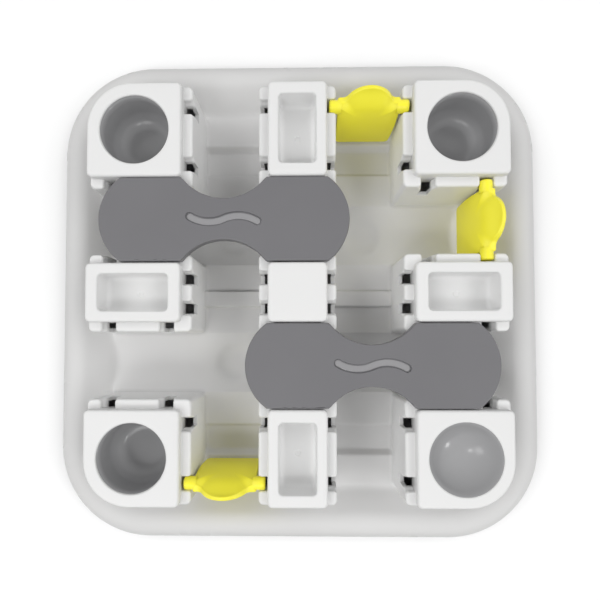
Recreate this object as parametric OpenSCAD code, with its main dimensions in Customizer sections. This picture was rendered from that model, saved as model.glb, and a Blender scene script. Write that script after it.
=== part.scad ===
// Cat slow feeder: a square basin tray with a grid of nine hollow towers,
// two covers that lie on the tower ledges and three flaps that swing in ledge notches.
// Millimetres. X runs to the right, Y to the back, Z up from the table.

/* [Tray] */
// Outer width of the square tray
tray_w = 312; // [308:1:318]
// Radius of the tray's outer corners
tray_corner_r = 60; // [57:0.5:62]
// Height of the rim's crest above the table
rim_z = 22; // [20:0.5:25]
// Radius of the rolled rim
rim_roll = 12; // [10.5:0.1:13]
// Thickness of the tray's and the towers' walls
wall = 2.4; // [2:0.1:2.8]
// Height of the base plate's underside above the table
plate_z = 4.8; // [4.4:0.1:5.2]
// Height of the open lower edge of the skirt
skirt_z = 2; // [1.6:0.1:2.4]
// Height of the lane floors and of the foot of the border slope
floor_z = 11; // [10.8:0.1:11.6]
// Width of the flat strip between the towers' outer faces and the border slope
border_flat = 2.6; // [2:0.1:3.6]

/* [Lanes] */
// Height of the edges of the half-pipe troughs and of the lane ends beside them
trough_edge_z = 12.5; // [12:0.1:12.8]
// Height of the bottom of the half-pipe troughs
trough_low_z = 8.6; // [8.4:0.1:9.4]
// Radius of the round dimple at each crossing
dimple_r = 12.5; // [10:0.5:14]
// Depth of the dimple below the floor of the trough
dimple_deep = 1; // [0.4:0.1:1.2]
// Distance of the food pocket's inner edge from the tray's middle
pocket_in = 83; // [80:0.5:88]
// Distance of the food pocket's steep side from the tray's middle
pocket_out = 100; // [96:0.5:104]
// Height of the food pocket's floor at its deepest
pocket_low_z = 8.4; // [8:0.1:9.4]
// Width of the low rib across each middle lane
rib_w = 10.5; // [8:0.5:13]
// Height of the low rib's top
rib_z = 13.6; // [12.6:0.1:15]

/* [Towers] */
// Side of the centre tower's top, and width of the edge towers' tops
tower_mid = 34.3; // [33.5:0.1:35]
// Side of the corner towers' tops, and length of the edge towers' tops
tower_side = 55.2; // [54:0.1:56]
// Gap between the top blocks of neighbouring towers
top_gap = 50; // [49:0.1:51]
// Height of the towers' tops
top_z = 54; // [53:0.5:56]
// Height of the ledges
ledge_z = 49; // [48:0.1:49.6]
// Width of the ledge on each side that faces a lane
ledge = 5.5; // [5.2:0.1:5.8]
// Radius of the towers' upright edges
edge_r = 3; // [2.6:0.1:3.6]
// Height of the solid shoulder under each ledge
shoulder = 8; // [6:0.5:9.5]

/* [Cups and wells] */
// Inside diameter of the deep round cups
cup_d = 40; // [38:0.5:42]
// Depth of the deep round cups
cup_deep = 25; // [20:0.5:28]
// Radius of the fillet round the cups' floors
cup_fillet = 8; // [5:0.5:10]
// Diameter of the shallow bowl
bowl_d = 41; // [38:0.5:42]
// Depth of the shallow bowl
bowl_deep = 11; // [9:0.5:13]
// Width of the rectangular wells
well_w = 21.5; // [19:0.5:23]
// Length of the rectangular wells
well_l = 40.5; // [37:0.5:42]
// Depth of the rectangular wells
well_deep = 14; // [11:0.5:17]
// Radius of the wells' upright corners
well_r = 2.5; // [2:0.1:4]

/* [Notches] */
// Distance of the outer notch from the tower's outer face
notch_end = 12.1; // [11:0.1:13]
// Spacing of the two notches on a long ledge
notch_pitch = 34; // [32:0.5:36]
// Spacing of the two notches on a short ledge
notch_pitch_mid = 17.6; // [16:0.2:19]
// Width of the window below the trunnion seat
window_w = 6.1; // [5.4:0.1:6.4]
// Depth of the window's sill below the ledge
window_deep = 15; // [12:0.5:18]
// Radius of the ledge tabs' corners at the mouth of a notch
tab_corner_r = 2; // [1:0.1:2.4]

/* [Covers] */
// Radius of the covers' round ends and of their hollow waist
cover_r = 30; // [29:0.1:31]
// Distance between the middles of a cover's two round ends
cover_pitch = 85; // [84:0.5:86]
// Gap between a cover and the top blocks on either side
cover_gap = 0.7; // [0.5:0.1:1]
// Sliding gap between a cover and the ledges
slide_gap = 0.15; // [0.1:0.05:0.3]
// Width of the wavy grip groove
groove_w = 4.8; // [4:0.1:5.4]
// Depth of the wavy grip groove
groove_deep = 1.2; // [0.8:0.1:1.6]
// Bend radius of the wavy grip groove
groove_r = 21; // [18:0.5:24]
// Slope of the wavy grip groove at the middle of the waist, in degrees
groove_slope = 23.5; // [18:0.5:28]
// How far each half of the groove turns on past its crest, in degrees
groove_turn = 32; // [26:1:36]

/* [Flaps] */
// Diameter of the trunnions
pin_d = 7.6; // [7.2:0.1:8]
// How far a trunnion stands up above the ledge
pin_up = 1.6; // [0.5:0.1:2.4]
// Running gap between a trunnion and its seat
pin_gap = 0.2; // [0.15:0.05:0.3]
// Distance of a trunnion's inner end from the middle of its flap
pin_start = 16.3; // [15:0.1:17.4]
// Length of the cone that blends a trunnion into the blade
pin_cone = 4; // [3:0.1:5]
// Gap between a trunnion's end and the top block beside it
pin_end_gap = 1.5; // [1:0.1:2]
// Gap between the blade and the tower wall on each side
blade_gap = 1.1; // [0.8:0.1:1.6]
// Length of the blade below the trunnions
blade_l = 33.5; // [30:0.5:34]
// How much narrower the blade is at its foot
blade_taper = 1.8; // [0:0.1:4]
// Thickness of the blade and the thumb tab
blade_t = 2.5; // [2:0.1:3]
// Radius of the round thumb tab
tab_r = 14.5; // [13:0.1:16]
// Height of the thumb tab's centre above the trunnions
tab_up = -1.6; // [-2.6:0.1:0]
// Radius of the hollow fillet between the thumb tab and each trunnion
tab_fillet = 4; // [3:0.1:5]
// Lean of the hanging flaps, with the foot towards the middle of the tray
flap_lean = 11.7; // [9:0.1:16]

/* [Feet] */
// Diameter of the rubber feet
foot_d = 14; // [12:0.5:15]
// Depth of a foot's socket in its boss
foot_socket = 1.4; // [1:0.1:1.8]
// Gap around a foot in its socket
foot_gap = 0.1; // [0.05:0.05:0.2]
// Distance of a foot's middle from the towers' outer faces, along X and Y
foot_in = 18.35; // [17:0.05:20]
// Width of the web round a foot's socket, inside the open foot of its tower
foot_web = 4; // [3:0.1:5]

/* [Hidden] */
$fn = 96;
white = [0.95, 0.95, 0.94];
grey = [0.45, 0.45, 0.47];
yellow = [0.95, 0.91, 0.22];
black = [0.1, 0.1, 0.1];
eps = 0.5;

// Tower grid: faces of the three columns, which are also the three rows
mid_half = tower_mid / 2;
inner = mid_half + top_gap;
outer = inner + tower_side;
lane_w = top_gap - 2 * ledge;
lane = mid_half + top_gap / 2;
body_mid = mid_half + ledge;
body_in = inner - ledge;

// Tray: axis of the rounded corners, and the rim's section measured out from it
corner_axis = tray_w / 2 - tray_corner_r;
tower_corner_r = outer - corner_axis;
plate_top = plate_z + wall;
slope_foot = [tower_corner_r + border_flat, floor_z];
roll_c = [tray_corner_r - rim_roll, rim_z - rim_roll];
roll_run = roll_c - slope_foot;
// The slope meets the rolled rim just short of a tangent, at a clear edge
slope_r = rim_roll - 0.3;
slope = atan2(roll_run[1], roll_run[0]) + asin(slope_r / norm(roll_run));
slope_out = [-sin(slope), cos(slope)];
slope_top = roll_c + slope_r * slope_out;
slope_under = roll_c + (slope_r - wall) * slope_out;
// The hollow under the slope starts a wall's thickness outside the towers' outer faces
under_r = tower_corner_r + wall;
under_z = slope_under[1] - (slope_under[0] - under_r) * tan(slope);

// Radii of the shallow arcs from their chords and depths
trough_deep = trough_edge_z - trough_low_z;
trough_r = (pow(lane_w / 2, 2) + pow(trough_deep, 2)) / (2 * trough_deep);
dimple_low_z = trough_low_z - dimple_deep;
dimple_full = (pow(dimple_r, 2) + pow(dimple_deep + 0.6, 2)) / (2 * (dimple_deep + 0.6));
bowl_full = (pow(bowl_d / 2, 2) + pow(bowl_deep, 2)) / (2 * bowl_deep);

// Flap seats
notch_w = pin_d + 2 * pin_gap;
axis_z = ledge_z - pin_d / 2 + pin_up;
notch_out = outer - notch_end;
notch_in = notch_out - notch_pitch;
blade_w = lane_w - 2 * blade_gap;
pin_span = top_gap - 2 * pin_end_gap;
blade_off = (pin_d - blade_t) / 2;

// Low and high face of a column or row: 0 is left or front, 1 the middle, 2 right or back
function low(i) = i == 0 ? -outer : i == 1 ? -mid_half : inner;
function high(i) = -low(2 - i);
// Width of the ledge on the low or the high side: the board's outer faces have none
function low_ledge(i) = i > 0 ? ledge : 0;
function high_ledge(i) = i < 2 ? ledge : 0;
// Notch positions along the side of column or row i
function notches(i) = i == 1 ? [-notch_pitch_mid / 2, notch_pitch_mid / 2]
    : i == 0 ? [-notch_out, -notch_in] : [notch_in, notch_out];
// Radius of the upright edge at side a and side b: wide on the board's own corners
function upright_r(i, j, a, b) = i == 2 * a && j == 2 * b ? tower_corner_r : edge_r;

// Rectangle with a radius of its own at each corner
module rounded(x0, y0, x1, y1, r00, r10, r11, r01) {
    polygon([[x0 + r00, y0], [x1 - r10, y0], [x1, y0 + r10], [x1, y1 - r11],
             [x1 - r11, y1], [x0 + r01, y1], [x0, y1 - r01], [x0, y0 + r00]]);
    translate([x0 + r00, y0 + r00]) circle(r00);
    translate([x1 - r10, y0 + r10]) circle(r10);
    translate([x1 - r11, y1 - r11]) circle(r11);
    translate([x0 + r01, y1 - r01]) circle(r01);
}

// Plan of a tower, drawn in by an inset, with its ledges (k = 1) or without them (k = 0)
module plan(i, j, k, inset) {
    rounded(low(i) - k * low_ledge(i) + inset, low(j) - k * low_ledge(j) + inset,
            high(i) + k * high_ledge(i) - inset, high(j) + k * high_ledge(j) - inset,
            max(0.4, upright_r(i, j, 0, 0) - inset), max(0.4, upright_r(i, j, 1, 0) - inset),
            max(0.4, upright_r(i, j, 1, 1) - inset), max(0.4, upright_r(i, j, 0, 1) - inset));
}

// Section of the tray's edge: plate, border slope, rolled rim and skirt
module edge_section() {
    difference() {
        union() {
            polygon([[0, plate_z], [0, plate_top], [tower_corner_r, plate_top],
                     [tower_corner_r, floor_z], slope_foot, slope_top, roll_c,
                     [tray_corner_r, roll_c[1]], [tray_corner_r, skirt_z],
                     [under_r + 4, skirt_z], [under_r + 4, plate_z]]);
            // The roll's upper half, with 1 mm of its lower half inside the skirt
            translate(roll_c) intersection() {
                circle(rim_roll);
                translate([-rim_roll, -1]) square([2 * rim_roll, rim_roll + 1]);
            }
        }
        polygon([[under_r, under_z], slope_under, roll_c,
                 [tray_corner_r - wall, roll_c[1]], [tray_corner_r - wall, 0], [under_r, 0]]);
        translate(roll_c) circle(rim_roll - wall);
    }
}

// One side and one corner of the tray's edge, turned to each of the four sides
module edge_ring() {
    for (k = [0 : 3]) rotate(90 * k) translate([corner_axis, corner_axis, 0]) {
        rotate_extrude(angle = 90) edge_section();
        rotate([90, 0, 0]) linear_extrude(2 * corner_axis) edge_section();
    }
}

// Floor of an outer lane: a slope, a food pocket with one steep side, and a step to the border
module pocket_floor() {
    translate([-lane_w / 2, 0, 0]) rotate([90, 0, 90]) linear_extrude(lane_w)
        polygon([[body_in, plate_top - eps], [body_in, trough_edge_z], [pocket_in, floor_z],
                 [pocket_in + 1.2, pocket_low_z + 1.2], [pocket_out, pocket_low_z],
                 [pocket_out + 3, floor_z + 1.2], [outer, floor_z], [outer, plate_top - eps]]);
}

// Floor of a middle lane, with a low rib across it
module rib_floor() {
    translate([-lane_w / 2, 0, 0]) rotate([90, 0, 90]) linear_extrude(lane_w)
        polygon([[-body_mid, plate_top - eps], [-body_mid, trough_edge_z],
                 [-rib_w / 2, floor_z], [-rib_w / 2, rib_z], [rib_w / 2, rib_z],
                 [rib_w / 2, floor_z], [body_mid, trough_edge_z], [body_mid, plate_top - eps]]);
}

// Half-pipe trough along a whole lane, with a dimple at both crossings
module trough_floor() {
    difference() {
        translate([-outer, -lane_w / 2, plate_top - eps])
            cube([2 * outer, lane_w, trough_edge_z - plate_top + eps]);
        translate([-outer - 1, 0, trough_low_z + trough_r]) rotate([0, 90, 0])
            cylinder(r = trough_r, h = 2 * outer + 2);
        for (s = [-1, 1]) translate([s * lane, 0, dimple_low_z + dimple_full])
            rotate([90, 0, 0]) sphere(dimple_full);
    }
}

// Place of a foot, by the side of the board along X and Y
function foot_at(a, b) = [a * (outer - foot_in), b * (outer - foot_in), 0];

// Plan of the web that carries a foot's boss, out to the walls of the tower above it
module foot_web(a, b) {
    translate(foot_at(a, b)) {
        circle(foot_d / 2 + foot_web);
        translate([a * foot_in / 2, b * foot_in / 2]) square(foot_in, center = true);
    }
}

module tray() {
    color(white) difference() {
        union() {
            edge_ring();
            translate([-corner_axis, -corner_axis, plate_z])
                cube([2 * corner_axis, 2 * corner_axis, wall]);
            for (s = [-1, 1]) {
                translate([0, s * lane, 0]) trough_floor();
                translate([s * lane, 0, 0]) rib_floor();
                for (t = [0, 180]) rotate(t) translate([s * lane, 0, 0]) pocket_floor();
            }
            for (a = [-1, 1], b = [-1, 1]) translate(foot_at(a, b) + [0, 0, skirt_z])
                cylinder(r = foot_d / 2 + 2, h = plate_z - skirt_z + eps);
        }
        // The towers are open below, and each stands on a seat round its opening
        for (i = [0 : 2], j = [0 : 2])
            translate([0, 0, plate_z - 1]) linear_extrude(wall + 2) difference() {
                plan(i, j, 1, wall + 2);
                for (a = [-1, 1], b = [-1, 1]) foot_web(a, b);
            }
        for (a = [-1, 1], b = [-1, 1]) translate(foot_at(a, b) + [0, 0, skirt_z - 1])
            cylinder(r = foot_d / 2 + foot_gap, h = foot_socket + 1);
    }
}

// Inside of a deep cup, drawn out by grow, up to height top
module cup_space(grow, top) {
    r = cup_d / 2 + grow;
    f = cup_fillet + grow;
    translate([0, 0, top_z - cup_deep - grow]) rotate_extrude() {
        square([r - f, top - top_z + cup_deep + grow]);
        translate([0, f]) square([r, top - top_z + cup_deep + grow - f]);
        intersection() {
            translate([r - f, f]) circle(f);
            square([r, r]);
        }
    }
}

// Inside of the shallow bowl, drawn out by grow, up to height top
module bowl_space(grow, top) {
    intersection() {
        translate([0, 0, top_z - bowl_deep + bowl_full]) rotate([90, 0, 0]) sphere(bowl_full + grow);
        translate([0, 0, top_z - bowl_deep - grow - 1])
            cylinder(r = bowl_d, h = top - top_z + bowl_deep + grow + 1);
    }
}

// Inside of a rectangular well, drawn out by grow, up to height top
module well_space(w, l, grow, top) {
    r = well_r + grow;
    translate([0, 0, top_z - well_deep - grow]) linear_extrude(top - top_z + well_deep + grow)
        rounded(-w / 2 - grow, -l / 2 - grow, w / 2 + grow, l / 2 + grow, r, r, r, r);
}

// What a tower holds: a deep cup, the shallow bowl, a well, or nothing on the centre tower
module vessel(i, j, grow, top) {
    translate([(low(i) + high(i)) / 2, (low(j) + high(j)) / 2, 0]) {
        if (i == 2 && j == 0) bowl_space(grow, top);
        else if (i != 1 && j != 1) cup_space(grow, top);
        else if (i == 1 && j != 1) well_space(well_w, well_l, grow, top);
        else if (i != 1) well_space(well_l, well_w, grow, top);
    }
}

// Plan of a notch in a ledge that faces +X, with the tabs' corners rounded at its mouth
module notch_plan() {
    translate([-ledge, -notch_w / 2]) square([ledge + 1, notch_w]);
    difference() {
        translate([-tab_corner_r, -notch_w / 2 - tab_corner_r])
            square([tab_corner_r + 1, notch_w + 2 * tab_corner_r]);
        for (s = [-1, 1]) translate([-tab_corner_r, s * (notch_w / 2 + tab_corner_r)])
            circle(tab_corner_r + 0.15);
    }
}

// One notch, in a ledge that faces +X with its wall's outer face at X = 0: a cut through the
// ledge, a half-round trunnion seat, and a slot down through the shoulder to the window's sill
module notch() {
    translate([0, 0, axis_z]) linear_extrude(ledge_z - axis_z + 0.01) notch_plan();
    translate([-ledge, 0, axis_z]) rotate([0, 90, 0]) cylinder(d = notch_w, h = ledge + 1);
    translate([-ledge, -window_w / 2, ledge_z - window_deep])
        cube([ledge + 1, window_w, axis_z - ledge_z + window_deep]);
}

// All the notches of a tower: two on each side that has a ledge
module tower_notches(i, j) {
    for (n = notches(j)) {
        if (i < 2) translate([high(i) + ledge, n, 0]) notch();
        if (i > 0) translate([low(i) - ledge, n, 0]) rotate(180) notch();
    }
    for (n = notches(i)) {
        if (j < 2) translate([n, high(j) + ledge, 0]) rotate(90) notch();
        if (j > 0) translate([n, low(j) - ledge, 0]) rotate(-90) notch();
    }
}

// A hollow tower: body up to the ledges, solid shoulder, narrower top block, and its cup or well
module tower(i, j) {
    color(white) difference() {
        union() {
            difference() {
                union() {
                    translate([0, 0, plate_top]) linear_extrude(ledge_z - plate_top) plan(i, j, 1, 0);
                    translate([0, 0, ledge_z - wall]) linear_extrude(top_z - ledge_z + wall)
                        plan(i, j, 0, 0);
                }
                translate([0, 0, plate_top - 1]) linear_extrude(ledge_z - shoulder - plate_top + 1)
                    plan(i, j, 1, wall);
                translate([0, 0, ledge_z - shoulder - 1])
                    linear_extrude(top_z - wall - ledge_z + shoulder + 1) plan(i, j, 0, wall);
            }
            vessel(i, j, wall, top_z - wall / 2);
        }
        vessel(i, j, 0, top_z + 1);
        tower_notches(i, j);
    }
}

module tower_back_left() { tower(0, 2); }
module tower_back_middle() { tower(1, 2); }
module tower_back_right() { tower(2, 2); }
module tower_middle_left() { tower(0, 1); }
module tower_centre() { tower(1, 1); }
module tower_middle_right() { tower(2, 1); }
module tower_front_left() { tower(0, 0); }
module tower_front_middle() { tower(1, 0); }
module tower_front_right() { tower(2, 0); }

// Outline of a cover: two round ends with flats, joined by a waist hollowed on both sides
module cover_plan() {
    half_w = top_gap / 2 - cover_gap;
    waist_c = sqrt(pow(2 * cover_r, 2) - pow(cover_pitch / 2, 2));
    difference() {
        union() {
            for (s = [-1, 1]) intersection() {
                translate([s * cover_pitch / 2, 0]) circle(cover_r);
                square([cover_pitch + 4 * cover_r, 2 * half_w], center = true);
            }
            square([cover_pitch / 2, waist_c], center = true);
        }
        for (s = [-1, 1]) translate([0, s * waist_c]) circle(cover_r + 0.3);
    }
}

// Wavy groove: two ring arcs that meet at the middle of the waist, with round ends
module groove_plan() {
    function ray(a) = [cos(a), sin(a)];
    mid = -groove_r * ray(90 + groove_slope);
    for (s = [0, 180]) rotate(s) {
        intersection() {
            translate(mid) difference() {
                circle(groove_r + groove_w / 2);
                circle(groove_r - groove_w / 2);
            }
            polygon([mid, mid + 2 * groove_r * ray(90 - groove_turn),
                     mid + 2 * groove_r * ray(90 + groove_slope)]);
        }
        translate(mid + groove_r * ray(90 - groove_turn)) circle(groove_w / 2 + 0.2);
    }
}

module cover() {
    color(grey) difference() {
        translate([0, 0, ledge_z + slide_gap]) linear_extrude(top_z - ledge_z - slide_gap) cover_plan();
        translate([0, 0, top_z - groove_deep]) linear_extrude(groove_deep + 1) groove_plan();
    }
}

module cover_back() { translate([-cover_pitch / 2, lane, 0]) cover(); }
module cover_front() { translate([cover_pitch / 2, -lane, 0]) cover(); }

// Outline of a flap about its trunnion axis: blade below, thumb tab above, filleted to the ears
module flap_plan() {
    ear_top = pin_d / 2;
    foot_w = blade_w - blade_taper;
    fillet_y = ear_top + tab_fillet;
    fillet_x = sqrt(pow(tab_r + tab_fillet, 2) - pow(fillet_y - tab_up, 2));
    polygon([[-blade_w / 2, ear_top], [-blade_w / 2, 0], [-foot_w / 2, 3 - blade_l], [3 - foot_w / 2, -blade_l],
             [foot_w / 2 - 3, -blade_l], [foot_w / 2, 3 - blade_l], [blade_w / 2, 0], [blade_w / 2, ear_top]]);
    for (s = [-1, 1]) translate([s * (foot_w / 2 - 3), 3 - blade_l]) circle(3);
    translate([0, tab_up]) circle(tab_r);
    for (s = [-1, 1]) difference() {
        polygon([[0, tab_up], [s * fillet_x, ear_top], [s * fillet_x, fillet_y]]);
        translate([s * fillet_x, fillet_y]) circle(tab_fillet);
    }
}

// A flap about its own axis along X: the plate lies on the outer side of the trunnions
module flap() {
    color(yellow) rotate([-flap_lean, 0, 0]) {
        translate([0, blade_off + blade_t / 2, 0]) rotate([90, 0, 0]) linear_extrude(blade_t) flap_plan();
        for (s = [-1, 1]) rotate([0, s * 90, 0]) {
            translate([0, 0, pin_start]) cylinder(d = pin_d, h = pin_span / 2 - pin_start);
            translate([0, 0, pin_start - pin_cone])
                cylinder(d1 = 2 * blade_off - blade_t + 0.4, d2 = pin_d, h = pin_cone);
        }
    }
}

module flap_back() { translate([lane, notch_out, axis_z]) flap(); }
module flap_right() { translate([notch_out, lane, axis_z]) rotate(-90) flap(); }
module flap_front() { translate([-lane, -notch_out, axis_z]) rotate(180) flap(); }

// Rubber foot, glued into the socket of its boss
module foot(a, b) {
    color(black) translate(foot_at(a, b)) cylinder(d = foot_d, h = skirt_z + foot_socket);
}

module foot_back_left() { foot(-1, 1); }
module foot_back_right() { foot(1, 1); }
module foot_front_left() { foot(-1, -1); }
module foot_front_right() { foot(1, -1); }

tray();
tower_back_left();
tower_back_middle();
tower_back_right();
tower_middle_left();
tower_centre();
tower_middle_right();
tower_front_left();
tower_front_middle();
tower_front_right();
cover_back();
cover_front();
flap_back();
flap_right();
flap_front();
foot_back_left();
foot_back_right();
foot_front_left();
foot_front_right();
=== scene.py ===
import math

import bmesh
import bpy
import numpy as np
from mathutils import Matrix, Vector
from mathutils.geometry import tessellate_polygon


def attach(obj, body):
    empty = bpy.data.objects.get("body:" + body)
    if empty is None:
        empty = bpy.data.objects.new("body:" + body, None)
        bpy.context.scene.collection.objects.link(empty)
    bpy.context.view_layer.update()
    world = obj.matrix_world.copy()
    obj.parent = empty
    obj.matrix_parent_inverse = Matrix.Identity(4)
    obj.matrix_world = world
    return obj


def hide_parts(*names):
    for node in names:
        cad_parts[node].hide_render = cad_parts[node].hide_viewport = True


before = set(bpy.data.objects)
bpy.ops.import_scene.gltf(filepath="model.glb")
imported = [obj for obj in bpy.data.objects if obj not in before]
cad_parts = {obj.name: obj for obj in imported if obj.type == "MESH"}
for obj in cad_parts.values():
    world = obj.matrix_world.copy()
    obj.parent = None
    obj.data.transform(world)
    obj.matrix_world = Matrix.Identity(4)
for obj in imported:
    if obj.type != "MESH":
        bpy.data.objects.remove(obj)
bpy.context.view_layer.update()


# Tray
# The basin that carries everything: lane floors, a border slope and a rolled rim with an open skirt.
# White plastic, painted a little greyer than the towers as shade for the lanes, slope and rim that lie
# lower; its walls are 2.4 mm thick all over.
# All sizes are in millimetres and are put into the mesh in metres.
MM = 0.001
BODY_MID, BODY_IN, OUTER = 22.65, 61.65, 122.35     # tower faces, out from the middle of the board
EDGE_R, CORNER_AXIS = 3.0, 96.0                     # towers' upright edges, axis of the board's corners
WALL = 2.4
FLOOR_Z, PLATE_TOP = 11.0, 7.2                      # lane floor, base plate under the towers
LANE = (BODY_MID + BODY_IN) / 2


def shell(name, points, faces, material):
    """A mesh object from points in millimetres and lists of corner numbers, smooth shaded."""
    mesh = bpy.data.meshes.new(name)
    mesh.from_pydata((np.asarray(points) * MM).tolist(), [], [list(f) for f in faces])
    mesh.validate()
    mesh.shade_smooth()
    mesh.materials.append(material)
    piece = bpy.data.objects.new(name, mesh)
    bpy.context.scene.collection.objects.link(piece)
    return piece


def thicken(piece, thick):
    """A wall of constant thickness, laid on the inner side of a skin."""
    wall = piece.modifiers.new("wall", "SOLIDIFY")
    wall.thickness = thick * MM
    wall.offset = -1


def even_shading(piece):
    """Evens the shading of the flats beside rounded edges."""
    even = piece.modifiers.new("even", "WEIGHTED_NORMAL")
    even.keep_sharp = True


def soften(piece, radius, angle=40, steps=3):
    """Rounds the edges that are sharper than an angle in degrees, then evens the shading."""
    round_off = piece.modifiers.new("round_off", "BEVEL")
    round_off.width = radius * MM
    round_off.segments = steps
    round_off.limit_method = "ANGLE"
    round_off.angle_limit = math.radians(angle)
    round_off.use_clamp_overlap = True
    even_shading(piece)


def moulding_group():
    """Moulded plastic: slow drifts of tone and gloss with a fine skin texture, all from noise on the
    piece's own coordinates. Tone mixes two colours, Gloss is a roughness, Skin is a bump height."""
    group = bpy.data.node_groups.new("moulded_skin", "ShaderNodeTree")
    for socket, kind, value in (("Light", "NodeSocketColor", (0.8, 0.8, 0.8, 1)),
                                ("Dark", "NodeSocketColor", (0.7, 0.7, 0.7, 1)),
                                ("Rough", "NodeSocketFloat", 0.25), ("Drift", "NodeSocketFloat", 0.06),
                                ("Grain", "NodeSocketFloat", 900.0)):
        made = group.interface.new_socket(socket, in_out="INPUT", socket_type=kind)
        made.default_value = value
    group.interface.new_socket("Tone", in_out="OUTPUT", socket_type="NodeSocketColor")
    group.interface.new_socket("Gloss", in_out="OUTPUT", socket_type="NodeSocketFloat")
    group.interface.new_socket("Skin", in_out="OUTPUT", socket_type="NodeSocketFloat")
    add, link = group.nodes.new, group.links.new
    given, result = add("NodeGroupInput"), add("NodeGroupOutput")
    place = add("ShaderNodeTexCoord")
    cloud, fine = add("ShaderNodeTexNoise"), add("ShaderNodeTexNoise")
    cloud.inputs["Scale"].default_value = 22.0
    cloud.inputs["Detail"].default_value = 3.0
    fine.inputs["Detail"].default_value = 2.0
    link(place.outputs["Object"], cloud.inputs["Vector"])
    link(place.outputs["Object"], fine.inputs["Vector"])
    link(given.outputs["Grain"], fine.inputs["Scale"])
    blend = add("ShaderNodeMix")
    blend.data_type = "RGBA"
    link(cloud.outputs["Fac"], blend.inputs["Factor"])
    link(given.outputs["Light"], blend.inputs["A"])
    link(given.outputs["Dark"], blend.inputs["B"])
    link(blend.outputs["Result"], result.inputs["Tone"])
    drift, gloss = add("ShaderNodeMath"), add("ShaderNodeMath")
    drift.operation, gloss.operation = "MULTIPLY", "ADD"
    link(cloud.outputs["Fac"], drift.inputs[0])
    link(given.outputs["Drift"], drift.inputs[1])
    link(drift.outputs["Value"], gloss.inputs[0])
    link(given.outputs["Rough"], gloss.inputs[1])
    link(gloss.outputs["Value"], result.inputs["Gloss"])
    link(fine.outputs["Fac"], result.inputs["Skin"])
    return group


moulded_skin = moulding_group()


def plastic(name, light, dark, rough, drift, grain, skin_deep, gloss=0.5):
    """A moulded plastic: the shared skin group with this finish's own values on a plain shader."""
    finish = bpy.data.materials.new(name)
    finish.use_nodes = True
    nodes, links = finish.node_tree.nodes, finish.node_tree.links
    shader = nodes["Principled BSDF"]
    skin = nodes.new("ShaderNodeGroup")
    skin.node_tree = moulded_skin
    skin.inputs["Light"].default_value = (*light, 1)
    skin.inputs["Dark"].default_value = (*dark, 1)
    skin.inputs["Rough"].default_value = rough
    skin.inputs["Drift"].default_value = drift
    skin.inputs["Grain"].default_value = grain
    bump = nodes.new("ShaderNodeBump")
    bump.inputs["Strength"].default_value = 0.25
    bump.inputs["Distance"].default_value = skin_deep * MM
    links.new(skin.outputs["Tone"], shader.inputs["Base Color"])
    links.new(skin.outputs["Gloss"], shader.inputs["Roughness"])
    links.new(skin.outputs["Skin"], bump.inputs["Height"])
    links.new(bump.outputs["Normal"], shader.inputs["Normal"])
    shader.inputs["Specular IOR Level"].default_value = gloss
    finish.diffuse_color = (*light, 1)
    return finish


# The tray's white is darker than the towers' white: painted shade for its low lanes, slope and rim.
tray_white_painted_shade = plastic("glossy_tray_moulding_painted_shade", (0.675, 0.672, 0.668), (0.645, 0.642, 0.638),
                     rough=0.24, drift=0.08, grain=1400, skin_deep=0.02, gloss=0.05)

RIM_ROLL, ROLL_U, ROLL_Z = 12.0, 144.0, 10.0        # rolled rim: radius and place of its centre
SLOPE_U = OUTER + 2.6                               # foot of the border slope
SLOPE_FILLET, TOWER_FILLET = 1.6, 2.2               # where the floor meets the slope and the towers
SKIRT_Z = np.array([7.5, 4.5, 2.0])                 # heights of the skirt's rings, from the roll down
TROUGH_EDGE, TROUGH_LOW = 12.5, 8.6                 # half-pipe lanes that run from side to side
TROUGH_RUN_OUT = 1.5                                # past the towers, to the level of the floor
DIMPLE_R, DIMPLE_DEEP = 12.5, 2.0
TUCK, FLOOR_END = 1.1, WALL + 2                     # floor under a tower's wall: level, then on to its end
WEB_FROM = 93                                       # the floor goes on above the foot bosses

# Heights across the lanes, as pairs of the distance from the board's middle line and the height there.
RIB = ((0, 13.6), (4.95, 13.6), (5.6, FLOOR_Z), (BODY_MID, TROUGH_EDGE))
POCKET = ((BODY_IN, TROUGH_EDGE), (83, FLOOR_Z + 0.4), (84.2, 9.3), (100, 8.3), (103, 12.4),
          (OUTER, FLOOR_Z))

# The border slope runs from its foot as a tangent to the rolled rim.
run, rise = ROLL_U - SLOPE_U, ROLL_Z - FLOOR_Z
SLOPE_A = math.atan2(rise, run) + math.asin(RIM_ROLL / math.hypot(run, rise))


def rounded_box_distance(x, y, low, high, r):
    """Signed distance from a rectangle with rounded corners: the length of what sticks out of the
    inner rectangle, less the corner radius; negative inside."""
    qx = np.maximum(low[0] + r - x, x - high[0] + r)
    qy = np.maximum(low[1] + r - y, y - high[1] + r)
    return np.hypot(np.maximum(qx, 0), np.maximum(qy, 0)) + np.minimum(np.maximum(qx, qy), 0) - r


def tower_distance(x, y):
    """Distance from the nearest tower's foot. One quarter of the board stands for all four."""
    x, y = np.abs(x), np.abs(y)
    mid = rounded_box_distance(x, y, (-BODY_MID, -BODY_MID), (BODY_MID, BODY_MID), EDGE_R)
    side = rounded_box_distance(x, y, (BODY_IN, -BODY_MID), (OUTER, BODY_MID), EDGE_R)
    back = rounded_box_distance(x, y, (-BODY_MID, BODY_IN), (BODY_MID, OUTER), EDGE_R)
    corner = rounded_box_distance(x, y, (BODY_IN, BODY_IN), (OUTER, OUTER), EDGE_R)
    round_corner = np.hypot(x - CORNER_AXIS, y - CORNER_AXIS) - (OUTER - CORNER_AXIS)
    corner = np.where((x > CORNER_AXIS) & (y > CORNER_AXIS), round_corner, corner)
    return np.minimum(np.minimum(mid, side), np.minimum(back, corner))


def softened(at, profile, reach):
    """Straight lines through pairs of station and height, averaged over a reach to round their bends."""
    stations, heights = np.transpose(profile)
    shifts = np.linspace(-reach, reach, 9)
    return np.mean([np.interp(at + s, stations, heights) for s in shifts], axis=0)


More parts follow.
